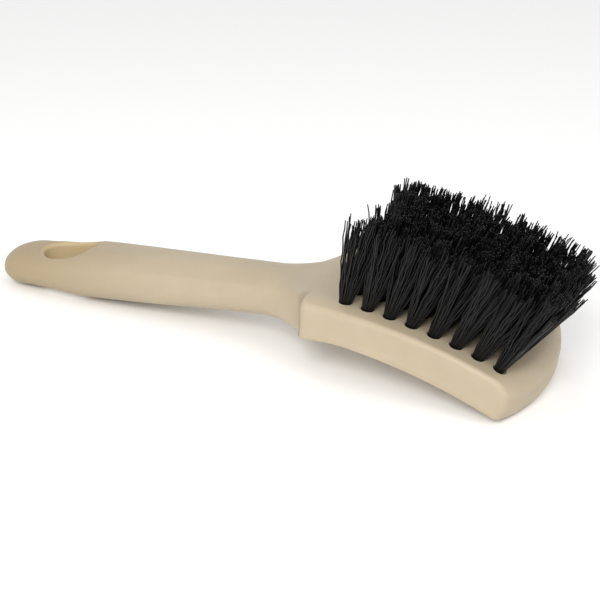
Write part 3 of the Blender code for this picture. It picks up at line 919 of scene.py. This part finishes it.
def tuft_settings(row, place):
    """The inputs in which a tuft differs from the group's own values."""
    middle = (ROWS - 1) / 2
    found = {
        "Material": black,
        "Seed": SEEDS_IN_ROW * row + place + 1,
        "Toe Bend": COLUMN_BOW * (1 - ((row - middle) / middle) ** 2),
    }
    # The outermost tufts spread less on their outer side, and the near rows end less evenly.
    if place == 0:
        found["Heel Reach"] = FIRST_HEEL_REACH
    if place == TUFTS_IN_ROW - 1:
        found["Toe Reach"] = LAST_TOE_REACH
    if row == 0:
        found["Near Reach"] = NEAR_ROW_REACH
    if row == ROWS - 1:
        found["Far Reach"] = FAR_ROW_REACH
    if row < len(NEAR_ROWS_SCATTER):
        found["Scatter"] = NEAR_ROWS_SCATTER[row]
    if row == place == 0:
        found.update(CORNER_TUFT)
    return found


identifiers = {item.name: item.identifier for item in tuft_group.interface.items_tree}
for row in range(ROWS):
    for place in range(TUFTS_IN_ROW):
        name = f"{row + 1}_{place + 1}"
        seedling = add_object("seedling", bmesh.new())
        grown = seedling.modifiers.new("tuft", "NODES")
        grown.node_group = tuft_group
        for label, value in tuft_settings(row, place).items():
            grown[identifiers[label]] = value
        tuft = settled(seedling, "bristles_" + name)
        tuft.data.transform(tuft_matrix(row, place))
        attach(tuft, "root")
        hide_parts("tuft_" + name)


# Camera: it stands where the photograph was taken from, to the near side and a little towards the
# toe, and looks down at the brush.
VIEW_AZIMUTH = math.radians(27.0)
VIEW_ELEVATION = math.radians(24.16)
VIEW_DISTANCE = 422.2 * MM
VIEW_RIGHT = 4.72 * MM
VIEW_UP = -13.97 * MM
VIEW_STATION = 120 * MM
LENS_LENGTH = 74.41
SENSOR_WIDTH = 36
aim = Vector((TAIL_X + VIEW_STATION, 0, CROWN_HEIGHT))
back = Vector(
    (
        math.sin(VIEW_AZIMUTH) * math.cos(VIEW_ELEVATION),
        -math.cos(VIEW_AZIMUTH) * math.cos(VIEW_ELEVATION),
        math.sin(VIEW_ELEVATION),
    )
)
right = Vector((math.cos(VIEW_AZIMUTH), math.sin(VIEW_AZIMUTH), 0))
up = back.cross(right)
lens = bpy.data.cameras.new("camera")
lens.lens = LENS_LENGTH
lens.sensor_width = SENSOR_WIDTH
lens.clip_start = 0.01
camera = bpy.data.objects.new("camera", lens)
bpy.context.scene.collection.objects.link(camera)
seat = Matrix((right, up, back)).transposed().to_4x4()
seat.translation = aim + VIEW_DISTANCE * back + VIEW_RIGHT * right + VIEW_UP * up
camera.matrix_world = seat
bpy.context.scene.camera = camera


# Studio: a sheet of white paper that keeps a soft shadow under the brush, one broad lamp from the
# front, a weaker one towards the toe and an even white surround.
WHITE = (1.0, 1.0, 1.0, 1.0)
PAPER_WHITE = (0.985, 0.985, 0.985, 1.0)
SURROUND_STRENGTH = 0.80
FLOOR_HALF_SIZE = 4.0
FLOOR_GAP = 0.1 * MM

floor_mesh = bmesh.new()
bmesh.ops.create_grid(floor_mesh, x_segments=1, y_segments=1, size=FLOOR_HALF_SIZE)
bmesh.ops.translate(floor_mesh, vec=(0, 0, -FLOOR_GAP), verts=floor_mesh.verts)
floor = add_object("floor", floor_mesh)
paper, _, surface, _ = new_material("paper")
surface.inputs["Base Color"].default_value = PAPER_WHITE
surface.inputs["Roughness"].default_value = 0.9
surface.inputs["Specular IOR Level"].default_value = 0.1
floor.data.materials.append(paper)


def add_lamp(name, place, target, size, power, colour):
    data = bpy.data.lights.new(name, "AREA")
    data.shape = "DISK"
    data.size = size
    data.energy = power
    data.color = colour
    lamp = bpy.data.objects.new(name, data)
    lamp.location = place
    lamp.rotation_euler = (Vector(target) - Vector(place)).to_track_quat("-Z", "Y").to_euler()
    bpy.context.scene.collection.objects.link(lamp)


add_lamp(
    "front_lamp",
    place=(0.17, -0.67, 0.52),
    target=(0.10, 0, 0.02),
    size=0.4,
    power=4.6,
    colour=(1.0, 0.99, 0.97),
)
add_lamp(
    "toe_lamp",
    place=(0.58, -0.22, 0.42),
    target=(0.10, 0, 0.02),
    size=0.3,
    power=0.6,
    colour=(1.0, 0.97, 0.93),
)

world = bpy.data.worlds.new("surround")
bpy.context.scene.world = world
world.use_nodes = True
tree = world.node_tree
tree.nodes.clear()
path = add_node(tree, "ShaderNodeLightPath").outputs
seen = calc(tree, "MAXIMUM", path["Is Camera Ray"], path["Is Glossy Ray"])
seen = calc(tree, "MAXIMUM", seen, path["Is Transmission Ray"])
strength = ranged(tree, seen, SURROUND_STRENGTH, 1.0)
sky = add_node(tree, "ShaderNodeBackground", {"Color": WHITE, "Strength": strength})
exit_node = tree.nodes.new("ShaderNodeOutputWorld")
tree.links.new(sky.outputs[0], exit_node.inputs["Surface"])
bpy.context.scene.view_settings.view_transform = "Standard"
